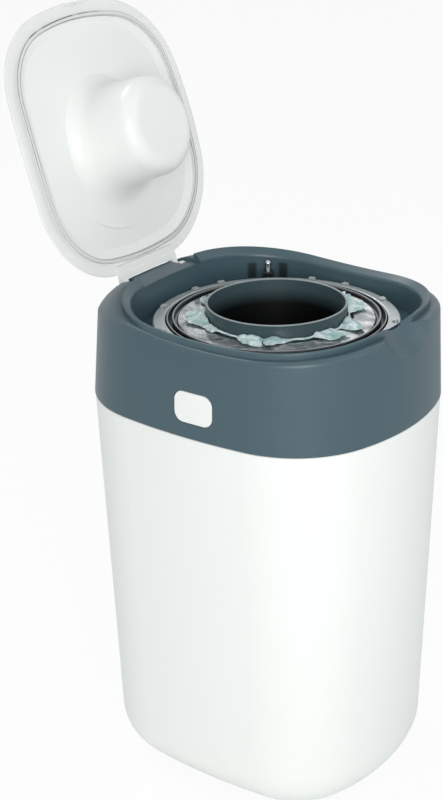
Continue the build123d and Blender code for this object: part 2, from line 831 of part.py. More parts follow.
# ---- Click pawl ----
def click_pawl():
    low_z = tooth_z
    high_z = plate_z - pawl_gap
    pivot = round_place(pawl_pivot_angle, pawl_pivot_r)
    tip = round_place(pawl_angle, pawl_arm_r)
    length = hypot(tip[0] - pivot[0], tip[1] - pivot[1])
    ux = (tip[0] - pivot[0]) / length
    uy = (tip[1] - pivot[1]) / length
    half = pawl_arm_width / 2
    corners = [(-uy * half, ux * half), (uy * half, -ux * half)]
    points = [(pivot[0] + x, pivot[1] + y) for x, y in corners]
    points += [(tip[0] + x, tip[1] + y) for x, y in reversed(corners)]
    face = make_face(Polyline(*[(x, y, low_z) for x, y in points], close=True))
    pawl = extrude(face, amount=high_z - low_z, dir=(0, 0, 1))
    pawl += rod(pivot, pawl_boss_r, low_z, high_z)
    nose_half = pawl_nose_width / 2
    nose_points = [
        (tooth_tip_r + pawl_gap, 0),
        (pawl_arm_r - half, -nose_half - half),
        (pawl_arm_r + half, -nose_half),
        (pawl_arm_r + half, nose_half),
        (pawl_arm_r - half, nose_half),
    ]
    nose = make_face(Polyline(*[(x, y, low_z) for x, y in nose_points], close=True))
    pawl += at_angle(extrude(nose, amount=high_z - low_z, dir=(0, 0, 1)), pawl_angle)
    foot_x = (peg_place_r - peg_foot_radial / 2, peg_place_r + peg_foot_radial / 2)
    foot = box(foot_x, (-peg_foot_width / 2, peg_foot_width / 2), (low_z, peg_foot_top_z))
    foot -= Pos(peg_place_r, 0, 0) * rod((0, 0), peg_root_r, peg_foot_top_z - peg_root_length, peg_foot_top_z)
    pawl += at_angle(foot, pawl_angle)
    return pawl - rod(pivot, pawl_pin_r + pin_gap, low_z, high_z)


def pawl_peg():
    peg = rod((0, 0), peg_r, peg_foot_top_z, peg_top_z - peg_r) + Pos(0, 0, peg_top_z - peg_r) * Sphere(peg_r)
    peg += rod((0, 0), peg_root_r, peg_foot_top_z - peg_root_length, peg_foot_top_z)
    return at_angle(Pos(peg_place_r, 0, 0) * peg, pawl_angle)


def pawl_pin():
    pivot = round_place(pawl_pivot_angle, pawl_pivot_r)
    low_z = tooth_z - pawl_spring_height() - pawl_gap
    pin = rod(pivot, pawl_pin_r, low_z, plate_top_z)
    return pin + rod(pivot, 2 * pawl_pin_r, low_z - pawl_pin_r, low_z)


def pawl_spring_height():
    return 3 * pawl_pin_r / 2


def pawl_spring():
    pivot = round_place(pawl_pivot_angle, pawl_pivot_r)
    high_z = tooth_z - pawl_gap
    coil = rod(pivot, 2 * pawl_pin_r, high_z - pawl_spring_height(), high_z)
    return coil - rod(pivot, pawl_pin_r + pawl_gap, high_z - pawl_spring_height(), high_z)


# ---- Buttons ----
def button_right():
    side = box((0, body.half_width + 10), (-body.front, body.back), (skirt_z, plate_z))
    flange_inset = shell_wall + flange_gap
    cap = button_bar(0) & wall_layer(-button_proud, flange_inset + button_flange_wall / 2) & side
    cap = fillet(cap.faces().sort_by(Axis.X)[-1].edges(), button_edge_r)
    flange = button_bar(button_flange) & wall_layer(flange_inset, flange_inset + button_flange_wall) & side
    back_x = body.half_width - flange_inset - button_flange_wall / 2
    post = rod((button_y, button_z), post_r, back_x - post_length, back_x, axis="X")
    return cap + flange + post


def latch_right():
    back = shell_wall + flange_gap + button_flange_wall + latch_seat_gap
    spigot_inner = spigot_inset + spigot_wall + latch_clear
    spigot_top = tub_height + spigot_height
    reach = (0, body.half_width + 10)
    width = (button_y - latch_half_width, button_y + latch_half_width)
    nose_width = (button_y - latch_nose_half, button_y + latch_nose_half)
    upper = box(reach, width, (spigot_top + latch_step_gap, latch_top_z)) & wall_layer(back, back + latch_wall)
    lower_z = (latch_foot_z, spigot_top + latch_step_gap + latch_wall)
    arm_inset = max(back + latch_wall / 2, spigot_inner + latch_arm_stand)
    lower = box(reach, width, lower_z) & wall_layer(arm_inset, arm_inset + latch_wall)
    nose_z = (latch_nose_z, latch_nose_z + latch_nose_height)
    nose = box(reach, nose_width, nose_z) & wall_layer(spigot_inner, arm_inset + latch_wall / 2)
    latch = upper + lower + nose
    return latch - rod((button_y, button_z), post_r + running_gap, 0, body.half_width, axis="X")


def spring_right():
    back = shell_wall + flange_gap + button_flange_wall + latch_seat_gap + latch_wall
    top_z = button_z + spring_inner_r + spring_wall
    outer_x = leaned(body.half_width, head_top.half_width, top_z) - back - latch_seat_gap
    inner_x = cup_r + cup_wall + running_gap
    tube = rod((button_y, button_z), spring_inner_r + spring_wall, inner_x, outer_x, axis="X")
    return tube - rod((button_y, button_z), spring_inner_r, inner_x, outer_x, axis="X")


# ---- Lid, made closed and then turned open about its hinge ----
def lid_shell():
    base = lid_rise()
    flange = prism(mouth, 0, crown_low_z, head_top_z) & under_crown(base + lid_flange_wall)
    flange -= under_crown(base)
    flange = fillet(plate_edges(flange, 1), lid_flange_r)
    flange = fillet(plate_edges(flange, 0), lid_flange_r)
    pillow = prism(mouth, pillow_inset, crown_low_z, head_top_z) & under_crown(base + pillow_height)
    pillow = fillet(top_edges(pillow), pillow_edge_r)
    cavity = prism(mouth, pillow_inset + pillow_wall, crown_low_z - 5, head_top_z)
    cavity = cavity & under_crown(base + pillow_height - pillow_wall)
    cavity = fillet(top_edges(cavity), pillow_edge_r - pillow_wall)
    return open_lid(flange + (pillow - under_crown(base)) - cavity)


# How far the lid's underside lies above the crown
def lid_rise():
    return lip_height - lip_fall * crest_offset / (well_inset + crest_offset) + lid_gap


def lid_inner_panel():
    base = lid_rise()
    panel = prism(mouth, panel_inset, crown_low_z, head_top_z) & under_crown(base + panel_top)
    panel = fillet(top_edges(panel), pillow_edge_r - pillow_wall)
    panel -= under_crown(base + panel_face)
    panel = fillet(plate_edges(panel, 0), panel_edge_r)
    panel -= prism(mouth, panel_recess_inset, crown_low_z, head_top_z) & under_crown(base + panel_recess)
    panel = hole_slope(panel, 0, panel_slope, panel_slope_drop)
    outer = [
        (0, plunger_end_z),
        (plunger_end_r, plunger_end_z),
        (plunger_base_r, plunger_base_z),
        (pad_r, plunger_base_z + pad_rise),
        (pad_r, head_top_z),
        (0, head_top_z),
    ]
    knob = turned(outer, plunger_y, [0, plunger_edge_r, plunger_flare_r, 0, 0, 0])
    knob = knob & under_crown(base + panel_top)
    inner = [
        (0, plunger_end_z + plunger_wall),
        (plunger_end_r - plunger_wall, plunger_end_z + plunger_wall),
        (plunger_base_r - plunger_wall, plunger_base_z),
        (plunger_base_r - plunger_wall, head_top_z),
        (0, head_top_z),
    ]
    bore = turned(inner, plunger_y, [0, plunger_edge_r - plunger_wall, 0, 0, 0])
    return open_lid(panel + knob - bore)


def lid_seal():
    base = lid_rise()
    seal = prism(mouth, seal_outer_inset, crown_low_z - 5, head_top_z)
    seal -= prism(mouth, seal_inner_inset, crown_low_z - 5, head_top_z)
    return open_lid((seal & under_crown(base)) - under_crown(base - seal_drop))


def lid_hinge_leaf():
    base = lid_rise()
    low_z = shelf_z + leaf_gap
    half = leaf_half_width
    leaf = box((-half, half), (leaf_front_y, leaf_back_y), (low_z, head_top_z)) & under_crown(base)
    slot_y = (leaf_front_y + leaf_back_y) / 2
    slot_range = (slot_y - rib_slot_width / 2, slot_y + rib_slot_width / 2)
    slot_x = (rib_slot_width * 2, rib_slot_width * 2 + rib_slot_length)
    for slot in both_sides(box(slot_x, slot_range, (low_z, low_z + rib_slot_depth))):
        leaf -= slot
    top_z = crown_low_z + crest_rise + base
    points = [
        (leaf_back_y, low_z),
        (leaf_back_y, top_z),
        (lid_hinge_y, top_z),
        (lid_hinge_y + lid_knuckle_r, lid_hinge_z + lid_knuckle_r),
        (lid_hinge_y + lid_knuckle_r, lid_hinge_z),
        (lid_hinge_y - lid_knuckle_r, lid_hinge_z),
        (lid_hinge_y - lid_knuckle_r, low_z),
    ]
    face = make_face(Polyline(*[(half - arm_width, y, z) for y, z in points], close=True))
    arm = extrude(face, amount=arm_width, dir=(1, 0, 0)) & under_crown(base)
    arm += rod((lid_hinge_y, lid_hinge_z), lid_knuckle_r, half - arm_width, half, axis="X")
    arm -= rod((lid_hinge_y, lid_hinge_z), lid_pin_r + pin_gap, half - arm_width, half, axis="X")
    for shape in both_sides(arm):
        leaf += shape
    return open_lid(leaf)


def lid_catch():
    rear = catch_tab_back - mouth.front
    half = catch_tab_half
    tab = box((-half, half), (rear - catch_tab_wall, rear), (catch_tab_z, head_top_z))
    return open_lid(tab & under_crown(lid_rise()))


def lid_hinge_pins():
    inner_x = leaf_half_width - arm_width - knuckle_side_gap - lid_pin_reach
    outer_x = pocket_half_width + lid_pin_reach
    return both_sides(rod((lid_hinge_y, lid_hinge_z), lid_pin_r, inner_x, outer_x, axis="X"))


# ---- Film cutter under the frame's ledge ----
def film_cutter():
    half = cutter_half_length
    width = (cutter_y - cutter_width / 2, cutter_y + cutter_width / 2)
    low_z = ledge_z - cutter_height
    body_block = box((-half, half), width, (low_z, ledge_z))
    slot = (cutter_y - cutter_slot / 2, cutter_y + cutter_slot / 2)
    body_block -= box((-half, half - cutter_end), slot, (low_z, low_z + cutter_slot_depth))
    gap = blade_wall / 2 + blade_gap
    seat_z = (low_z + cutter_slot_depth, ledge_z - 1)
    return body_block - box((-half, half - cutter_end), (cutter_y - gap, cutter_y + gap), seat_z)


def cutter_blade():
    half = cutter_half_length
    top_z = ledge_z - 1
    y = (cutter_y - blade_wall / 2, cutter_y + blade_wall / 2)
    return box((1 - half, half - cutter_end - blade_gap), y, (top_z - blade_height, top_z))


pieces = {
    "tub_shell": tub_shell,
    "rear_hinge_pins": rear_hinge_pins,
    "head_shell": head_shell,
    "head_frame": head_frame,
    "frame_screws": frame_screws,
    "deck_ring": deck_ring,
    "deck_clips": deck_clips,
    "glide_ring": glide_ring,
    "lid_hinge_pins": lid_hinge_pins,
    "film_cutter": film_cutter,
    "cutter_blade": cutter_blade,
    "turntable": turntable,
    "cassette_tub": cassette_tub,
    "film_pack": film_pack,
    "cassette_cover": cassette_cover,
    "collar": collar,
    "film_tufts": film_tufts,
    "click_pawl": click_pawl,
    "pawl_peg": pawl_peg,
    "pawl_pin": pawl_pin,
    "pawl_spring": pawl_spring,
    "lid_shell": lid_shell,
    "lid_inner_panel": lid_inner_panel,
    "lid_seal": lid_seal,
    "lid_hinge_leaf": lid_hinge_leaf,
    "lid_catch": lid_catch,
}
side_pieces = {"button": button_right, "latch": latch_right, "button_spring": spring_right}


def write_piece(name, shape):
    solids = shape if isinstance(shape, list) else [shape]
    solids = [solid for item in solids for solid in item.solids()]
    piece = Compound(children=solids) if len(solids) > 1 else solids[0]
    export_step(piece, "parts/" + name + ".step")
    print(name, len(solids))


os.makedirs("parts", exist_ok=True)
for name, make in pieces.items():
    write_piece(name, make())
for name, make in side_pieces.items():
    right = make()
    write_piece(name + "_right", right)
    write_piece(name + "_left", mirror(right, about=Plane.YZ))
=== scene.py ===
import json
import math
import bmesh
import bpy
import numpy as np
from mathutils import Matrix, Vector


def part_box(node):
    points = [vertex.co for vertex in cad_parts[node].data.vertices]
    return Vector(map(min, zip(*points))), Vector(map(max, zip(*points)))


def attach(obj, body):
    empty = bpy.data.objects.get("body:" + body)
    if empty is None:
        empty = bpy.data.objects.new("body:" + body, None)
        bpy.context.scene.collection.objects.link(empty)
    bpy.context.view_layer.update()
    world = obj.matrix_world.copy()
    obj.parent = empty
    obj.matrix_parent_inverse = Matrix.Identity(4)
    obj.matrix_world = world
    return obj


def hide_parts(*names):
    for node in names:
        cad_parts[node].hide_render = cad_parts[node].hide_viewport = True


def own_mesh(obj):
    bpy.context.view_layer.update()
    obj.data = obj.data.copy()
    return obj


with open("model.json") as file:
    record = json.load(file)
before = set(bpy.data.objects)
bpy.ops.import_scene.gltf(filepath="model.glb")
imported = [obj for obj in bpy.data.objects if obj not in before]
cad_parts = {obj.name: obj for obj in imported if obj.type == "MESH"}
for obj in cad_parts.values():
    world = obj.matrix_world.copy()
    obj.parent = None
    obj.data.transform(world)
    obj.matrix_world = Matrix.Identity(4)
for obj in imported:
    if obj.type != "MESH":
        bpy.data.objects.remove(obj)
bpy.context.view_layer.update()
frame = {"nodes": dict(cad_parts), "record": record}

nodes = frame["nodes"]
turnY = -0.010  # the turntable's axis

cameraLook = {
    "place": (-1.0862, -0.7574, 0.8728),
    "azimuth": -55.114,  # degrees, as seen along the view
    "elevation": 26.241,
    "roll": -0.554,
    "lens": 80.007,
    "shift": (-0.05833, 0.14331),
}
lightLook = {
    "sky": 0.50,
    "skyColour": (0.95, 0.98, 1.0),
    "lamps": [
        {"place": (-1.55, -1.25, 1.0), "size": 1.1, "power": 20.5, "colour": (1.0, 0.99, 0.97)},
        {"place": (0.5, -1.6, 2.0), "size": 1.2, "power": 4.6, "colour": (0.98, 1.0, 1.0)},
        {"place": (0.2, 1.6, 2.2), "size": 1.0, "power": 14.0, "colour": (1.0, 1.0, 1.0)},
    ],
    "floorColour": (0.93, 0.94, 0.935),
    "floorGlow": 0.90,  # share of the floor that the camera sees as plain white
    "backdrop": 0.95,  # as pale as the floor looks
}
filmLook = {
    "lobes": [(93, 8, 16, -5), (121, 8, 16, 5), (139, 8, 13, -5), (155, 6, 7, 4), (-167, 9, 13, 6), (-146, 7, 10, -4),
              (-106, 9, 15, 7), (-75, 9, 16, -6), (-41, 9, 19, 5), (-15, 9, 18, -5), (28, 8, 12, 4), (62, 8, 13, -3)],
    "innerRadius": 0.0562,
    "reach": 0.0576,  # the film's edge between the lobes
    "height": 0.3966,
    "lift": 0.0042,
    "thickness": 0.00012,
    "length": 0.353,  # the strip of film that goes once round the collar
    "across": 30,
    "around": 760,
    "knots": 130,  # corners in the film's torn outline
    "foldHeight": 0.0022,
    "foldLengths": (0.0065, 0.009, 0.0135, 0.018, 0.007),
    "seed": 7,
}
# painted shade down the collar's bore and a painted highlight on its rim
boreLook = {
    "foot": 0.340,  # the height that the bore's radius is measured up from
    "flare": 0.0465,  # how fast the bore widens upwards
    "radius": (0.0519, 0.0514),
    "shade": (0.4012, 0.3888),  # painted shade, from plain plastic down to black
    "dark": (0.0012, 0.0015, 0.002),
    # painted highlight: the heights and colour of the collar's pale rim
    "rim": (0.4079, 0.4085),
    "pale": (0.30, 0.35, 0.36),
}
# painted highlights on the turntable's two narrow ring tops
ringLook = {
    "heights": [(0.39705, 0.3972), (0.3975, 0.3974), (0.3979, 0.3981)],  # one ring's top, then the other's
    "pale": (0.30, 0.32, 0.33),
}
# painted shade in the two upright recesses beside the click pawl
recessLook = {
    "angle": 38.3,  # degrees, where the click pawl stands
    "offset": 0.013,
    "halfWidth": 0.0045,
    "low": 0.3885,
    "high": 0.4040,
    "soft": 0.0022,
    "shade": 0.22,
}
# dark tubes along the seal's edges as painted shadow lines, paler in some quarters
sealLook = {
    "open": 109.3,  # degrees, the lid's turn from closed
    "corner": 0.9,  # radians between faces at an edge that a painted shadow line follows
    "points": 420,
    "shadowLineRadius": 0.00022,
    "gapRadius": 0.0005,
    "gapSpans": [(74, 88), (92, 114), (118, 123)],  # degrees round the lid
    "fade": (-0.0004, 0.0016),  # square metres, from dark to pale quarters of the painted shadow lines
    "pale": (0.46, 0.47, 0.46),
}
springLook = {
    "wire": 0.0008,
    "restPitch": 2.1,  # wire diameters from turn to turn
    "sides": 8,
    "steps": 28,  # points in one turn
}


# ---- Camera ----
def makeCamera(look):
    azimuth, elevation, roll = (math.radians(look[key]) for key in ("azimuth", "elevation", "roll"))
    back = Vector((math.sin(azimuth) * math.cos(elevation), -math.cos(azimuth) * math.cos(elevation), math.sin(elevation)))
    right = (-back).cross(Vector((0, 0, 1))).normalized()
    up = right.cross(-back)
    turnedRight = right * math.cos(roll) + up * math.sin(roll)
    turnedUp = up * math.cos(roll) - right * math.sin(roll)
    data = bpy.data.cameras.new("camera")
    data.lens = look["lens"]
    data.sensor_width = 36
    data.shift_x, data.shift_y = look["shift"]
    data.clip_start = 0.05
    camera = bpy.data.objects.new("camera", data)
    bpy.context.scene.collection.objects.link(camera)
    turn = Matrix((turnedRight, turnedUp, back)).transposed()
    camera.matrix_world = Matrix.Translation(look["place"]) @ turn.to_4x4()
    bpy.context.scene.camera = camera
    return camera


camera = makeCamera(cameraLook)
print("camera done")


# ---- Shader sums ----
class Value:
    # one output in a material's tree, so that sums can be written plainly
    def __init__(self, finish, socket):
        self.finish = finish
        self.socket = socket

    def __add__(self, other):
        return self.finish.maths("ADD", self, other)

    def __radd__(self, other):
        return self.finish.maths("ADD", other, self)

    def __sub__(self, other):
        return self.finish.maths("SUBTRACT", self, other)

    def __rsub__(self, other):
        return self.finish.maths("SUBTRACT", other, self)

    def __mul__(self, other):
        return self.finish.maths("MULTIPLY", self, other)

    def __rmul__(self, other):
        return self.finish.maths("MULTIPLY", other, self)

    def __truediv__(self, other):
        return self.finish.maths("DIVIDE", self, other)

    def __rtruediv__(self, other):
        return self.finish.maths("DIVIDE", other, self)

    def __pow__(self, other):
        return self.finish.maths("POWER", self, other)

    def __rpow__(self, other):
        return self.finish.maths("POWER", other, self)


class Finish:
    # a material with one principled shader and the methods that build its maps
    def __init__(self, name, **constants):
        self.material = bpy.data.materials.new(name)
        self.material.use_nodes = True
        self.tree = self.material.node_tree
        self.shader = self.tree.nodes["Principled BSDF"]
        self.place = self.node("TexCoord", "Object")
        for key, value in constants.items():
            self.shader.inputs[key.replace("_", " ")].default_value = value

    def node(self, kind, output=0, settings=(), **inputs):
        made = self.tree.nodes.new("ShaderNode" + kind)
        for key, value in dict(settings).items():
            setattr(made, key, value)
        for key, value in inputs.items():
            socket = made.inputs[int(key[1:])] if key[1:].isdigit() else made.inputs[key.replace("_", " ")]
            self.feed(socket, value)
        return Value(self, made.outputs[output])

    def feed(self, socket, value):
        if isinstance(value, Value):
            self.tree.links.new(value.socket, socket)
        elif socket.type == "RGBA" and len(value) == 3:
            socket.default_value = (*value, 1)
        else:
            socket.default_value = value

    def split(self, vector):
        return [self.node("SeparateXYZ", part, Vector=vector) for part in range(3)]

    def maths(self, operation, first, second=0.0):
        return self.node("Math", settings={"operation": operation}, i0=first, i1=second)

    def mix(self, factor, first, second):
        return self.node("Mix", output=2, settings={"data_type": "RGBA"}, i0=factor, i6=first, i7=second)

    def noise(self, scale, detail=3.0, roughness=0.55, distortion=0.0, place=None):
        return self.node("TexNoise", Vector=place or self.place, Scale=scale, Detail=detail, Roughness=roughness,
                         Distortion=distortion)

    def spread(self, value, low, high, to=(0.0, 1.0)):
        return self.node("MapRange", Value=value, From_Min=low, From_Max=high, To_Min=to[0], To_Max=to[1])

    def stretched(self, scale):
        return self.node("Mapping", Vector=self.place, Scale=scale)

    def set(self, **maps):
        for key, value in maps.items():
            self.feed(self.shader.inputs[key.replace("_", " ")], value)

    def bump(self, height, strength, distance):
        bumped = self.node("Bump", Strength=strength, Distance=distance, Height=height)
        self.set(Normal=bumped)


def mouldedPlastic(name, look):
    finish = Finish(name, IOR=look.get("ior", 1.48), Specular_IOR_Level=look.get("specular", 0.5))
    cloud = finish.noise(look.get("cloud", 9.0), 3.0)
    speck = finish.noise(look.get("speck", 900.0), 2.0)
    finish.colour = finish.mix(cloud * 0.7 + speck * 0.3, look["dark"], look["light"])
    finish.set(Base_Color=finish.colour)
    if "metallic" in look:
        finish.set(Metallic=finish.spread(cloud, 0.3, 0.7, look["metallic"]))
    finish.set(Roughness=finish.spread(cloud + speck * 0.5, 0.45, 1.05, look["rough"]))
    finish.bump(speck, look.get("grain", 0.08), look.get("depth", 0.00012))
    if "coat" in look:
        finish.shader.inputs["Coat Weight"].default_value = look["coat"]
        finish.shader.inputs["Coat Roughness"].default_value = look.get("coatRough", 0.15)
    return finish


plasticLooks = {
    "white_plastic": {"light": (0.89, 0.912, 0.893), "dark": (0.86, 0.885, 0.865), "rough": (0.36, 0.48), "grain": 0.05},
    "slate_plastic": {"light": (0.056, 0.104, 0.126), "dark": (0.049, 0.093, 0.114), "rough": (0.32, 0.42), "grain": 0.08,
                      "specular": 0.55},
    "silver_plastic": {"light": (0.66, 0.69, 0.70), "dark": (0.50, 0.53, 0.54), "rough": (0.26, 0.38), "speck": 1400.0,
                       "grain": 0.10, "metallic": (0.30, 0.55)},
    "glide_plastic": {"light": (0.80, 0.80, 0.77), "dark": (0.74, 0.74, 0.70), "rough": (0.40, 0.50)},
    "black_plastic": {"light": (0.012, 0.014, 0.016), "dark": (0.007, 0.008, 0.010), "rough": (0.22, 0.34)},
    "grey_plastic": {"light": (0.34, 0.38, 0.39), "dark": (0.28, 0.32, 0.33), "rough": (0.35, 0.46)},
    "collar_plastic": {"light": (0.055, 0.092, 0.106), "dark": (0.042, 0.075, 0.088), "rough": (0.30, 0.42), "grain": 0.06},
    "panel_plastic": {"light": (0.91, 0.93, 0.912), "dark": (0.88, 0.902, 0.885), "rough": (0.26, 0.36), "grain": 0.03},
    "seal_rubber": {"light": (0.80, 0.82, 0.80), "dark": (0.72, 0.74, 0.72), "rough": (0.40, 0.55)},
    # painted shadow: the colour of the dark tubes along the seal's edges
    "seal_shadow_line": {"light": (0.26, 0.27, 0.26), "dark": (0.16, 0.17, 0.165), "rough": (0.50, 0.65)},
}


def boreShadeAndRimHighlight(finish, look):
    # painted shade: the collar's bore grows darker towards the inside of the bin, and a painted highlight lightens its
    # rim
    x, y, z = finish.split(finish.place)
    away = (x * x + (y - turnY) * (y - turnY)) ** 0.5
    inside = finish.spread(away - (z - look["foot"]) * look["flare"], *look["radius"])
    colour = finish.mix(inside * finish.spread(z, *look["shade"]), finish.colour, look["dark"])
    finish.set(Base_Color=finish.mix(finish.spread(z, *look["rim"]), colour, look["pale"]))


def paintedRecessShade(finish, look):
    # painted shade: the two upright recesses beside the click pawl are darkened where they lie in shadow
    x, y, z = finish.split(finish.place)
    turn = math.radians(look["angle"])
    across = y * math.cos(turn) - turnY * math.cos(turn) - x * math.sin(turn)
    out = x * math.cos(turn) + y * math.sin(turn)
    away = finish.maths("ABSOLUTE", finish.maths("ABSOLUTE", across) - look["offset"])
    wide = finish.spread(away, look["halfWidth"], look["halfWidth"] - look["soft"])
    high = finish.spread(z, look["low"], look["low"] + look["soft"]) * finish.spread(z, look["high"], look["high"] - look["soft"])
    near = finish.spread(out, 0.085, 0.090)
    dark = tuple(part * look["shade"] for part in plasticLooks["slate_plastic"]["dark"])
    finish.set(Base_Color=finish.mix(wide * high * near, finish.colour, dark))


def paintedRingHighlights(finish, look):
    # painted highlights: the turntable's two narrow ring tops are made pale
    z = finish.split(finish.place)[2]
    first, fade, second = (finish.spread(z, *heights) for heights in look["heights"])
    finish.set(Base_Color=finish.mix(first * fade + second, finish.colour, look["pale"]))


def shadowLineQuarters(finish, look):
    # painted shade: the seal's shadow lines are dark in two opposite quarters of the lid and paler in the others
    low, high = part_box("lid_seal")
    x, y, z = finish.split(finish.place)
    quarter = x * (z - (low[2] + high[2]) / 2)
    finish.set(Base_Color=finish.mix(finish.spread(quarter, *look["fade"]), finish.colour, look["pale"]))


def marbledPlastic(name):
    finish = Finish(name, IOR=1.5, Coat_Weight=0.8, Coat_Roughness=0.05)
    swirl = finish.noise(34.0, 3.0, 0.55, 1.8)
    vein = finish.noise(90.0, 2.0, 0.5, 1.2)
    # the marbled tone is partly the cover's own pattern and partly painted reflection of its glossy top
    tone = finish.spread(swirl * 0.75 + vein * 0.25, 0.38, 0.60)
    finish.set(Base_Color=finish.mix(tone, (0.14, 0.155, 0.165), (0.80, 0.82, 0.83)))
    finish.set(Roughness=finish.spread(vein, 0.35, 0.65, (0.08, 0.22)))
    finish.set(Metallic=finish.spread(swirl, 0.42, 0.58, (0.35, 0.85)))
    finish.bump(vein, 0.3, 0.0004)
    return finish


def clearPlastic(name):
    finish = Finish(name, IOR=1.49, Roughness=0.12)
    cloud = finish.noise(14.0, 2.0)
    finish.set(Base_Color=finish.mix(cloud, (0.89, 0.91, 0.895), (0.92, 0.935, 0.92)))
    finish.set(Alpha=finish.spread(cloud, 0.3, 0.7, (0.55, 0.58)))
    finish.bump(finish.noise(60.0, 2.0), 0.05, 0.0004)
    return finish


def filmPlastic(name):
    finish = Finish(name, IOR=1.45, Specular_IOR_Level=0.6)
    fold = finish.noise(110.0, 4.0, 0.6, 0.8)
    tone = finish.spread(fold, 0.36, 0.64)
    finish.set(Base_Color=finish.mix(tone, (0.38, 0.60, 0.60), (0.84, 0.95, 0.95)))
    finish.set(Roughness=finish.spread(fold, 0.3, 0.7, (0.18, 0.40)))
    finish.set(Alpha=finish.spread(fold, 0.3, 0.7, (0.84, 0.96)))
    finish.bump(finish.noise(320.0, 4.0, 0.7), 0.3, 0.0004)
    return finish


def metal(name, colour, rough):
    finish = Finish(name, Metallic=1.0)
    brushed = finish.noise(400.0, 3.0, place=finish.stretched((1.0, 1.0, 0.08)))
    darker = tuple(0.8 * part for part in colour)
    finish.set(Base_Color=finish.mix(brushed, darker, colour))
    finish.set(Roughness=finish.spread(brushed, 0.3, 0.7, rough))
    finish.bump(brushed, 0.06, 0.0001)
    return finish


finishes = {name: mouldedPlastic(name, look) for name, look in plasticLooks.items()}
boreShadeAndRimHighlight(finishes["collar_plastic"], boreLook)
finishes["head_plastic"] = mouldedPlastic("head_plastic", plasticLooks["slate_plastic"])
paintedRecessShade(finishes["head_plastic"], recessLook)
finishes["ring_plastic"] = mouldedPlastic("ring_plastic", plasticLooks["black_plastic"])
paintedRingHighlights(finishes["ring_plastic"], ringLook)
shadowLineQuarters(finishes["seal_shadow_line"], sealLook)
finishes["marbled_plastic"] = marbledPlastic("marbled_plastic")
finishes["clear_plastic"] = clearPlastic("clear_plastic")
finishes["film"] = filmPlastic("film")
finishes["screw_steel"] = metal("screw_steel", (0.60, 0.61, 0.63), (0.25, 0.4))
finishes["pin_steel"] = metal("pin_steel", (0.62, 0.63, 0.64), (0.2, 0.35))
finishes["spring_steel"] = metal("spring_steel", (0.50, 0.51, 0.53), (0.3, 0.45))
finishes["peg_steel"] = metal("peg_steel", (0.55, 0.58, 0.60), (0.12, 0.2))
finishes["blade_steel"] = metal("blade_steel", (0.68, 0.69, 0.71), (0.15, 0.3))
ownFinish = {"turntable": "ring_plastic", "head_shell": "head_plastic"}
for entry in frame["record"]["subparts"]:
    finish = finishes.get(ownFinish.get(entry["node"], entry["material_slot"]))
    if finish:
        mesh = nodes[entry["node"]].data
        mesh.materials.clear()
        mesh.materials.append(finish.material)
    else:
        print("no finish for", entry["material_slot"])
print("finishes done")


# ---- Pieces ----
def meshPiece(name, points, faces, slot, body, finish=None):
    mesh = bpy.data.meshes.new(name)
    mesh.from_pydata([tuple(p) for p in points], [], [tuple(f) for f in faces])
    mesh.update()
    piece = bpy.data.objects.new(name, mesh)
    bpy.context.scene.collection.objects.link(piece)
    mesh.materials.append(finishes[finish or slot].material)
    for polygon in mesh.polygons:
        polygon.use_smooth = True
    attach(piece, body)
    return piece


def gridFaces(around, across, closed=False):
    # a grid of points that closes on itself round the axis, and across it where asked
    faces = []
    for i in range(around):
        j = (i + 1) % around
        for k in range(across if closed else across - 1):
            m = (k + 1) % across
            faces.append((i * across + k, i * across + m, j * across + m, j * across + k))
    return faces


def creases(x, y, lengths, random):
    # flat facets with sharp folds between them, from 0 to 1
    total = np.zeros_like(x)
    for length in lengths:
        turn = random.uniform(0, np.pi)
        bend = 0.25 * length * np.sin((x * np.sin(turn) - y * np.cos(turn)) / (2.3 * length) + random.uniform(0, 6.28))
        wave = (x * np.cos(turn) + y * np.sin(turn) + bend) / length + random.uniform(0, 1)
        total += np.abs(wave % 1.0 - 0.5) * 2 * length
    return total / sum(lengths)


def filmSheet(look):
    random = np.random.default_rng(look["seed"])
    around, across = look["around"], look["across"]
    angle = np.linspace(0, 2 * np.pi, around, endpoint=False)
    spacing = 2 * np.pi / look["knots"]
    knots = (np.arange(look["knots"]) + random.uniform(-0.35, 0.35, look["knots"])) * spacing
    corner = np.zeros(look["knots"])
    sweep = np.zeros(look["knots"])
    for place, width, reach, lean in look["lobes"]:
        away = np.angle(np.exp(1j * (knots - math.radians(place)))) / math.radians(width)
        share = np.clip(1.35 - np.abs(away) ** 3, 0, 1)
        corner = np.maximum(corner, reach * 0.001 * share ** 0.7)
        sweep += math.radians(lean) * share
    corner *= random.uniform(0.70, 1.10, look["knots"])
    edge = look["reach"] + np.interp(angle, knots, corner, period=2 * np.pi)
    along = np.linspace(0, 1, across)[None, :]
    radius = look["innerRadius"] + (edge[:, None] - look["innerRadius"]) * along
    bearing = angle[:, None] + np.interp(angle, knots, sweep, period=2 * np.pi)[:, None] * along
    x = radius * np.cos(bearing)
    y = radius * np.sin(bearing)
    lobe = np.clip((edge - look["reach"])[:, None] / 0.014, 0, 1)
    fold = np.clip((creases(x, y, look["foldLengths"], random) - 0.30) / 0.45, 0, 1)
    drape = np.clip(1.0 - along, 0, 1) ** 0.8
    rise = look["foldHeight"] * fold * (0.30 + 0.70 * lobe) + look["lift"] * drape * (0.25 + 0.45 * lobe)
    points = np.stack([x, turnY + y, look["height"] + rise], -1).reshape(-1, 3)
    sheet = meshPiece("filmSheet", points, gridFaces(around, across), "film", "turntable")
    thick = sheet.modifiers.new("thick", "SOLIDIFY")
    thick.thickness = look["thickness"]
    thick.offset = 1
    freeze(sheet)
    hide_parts("film_tufts")
    return sheet


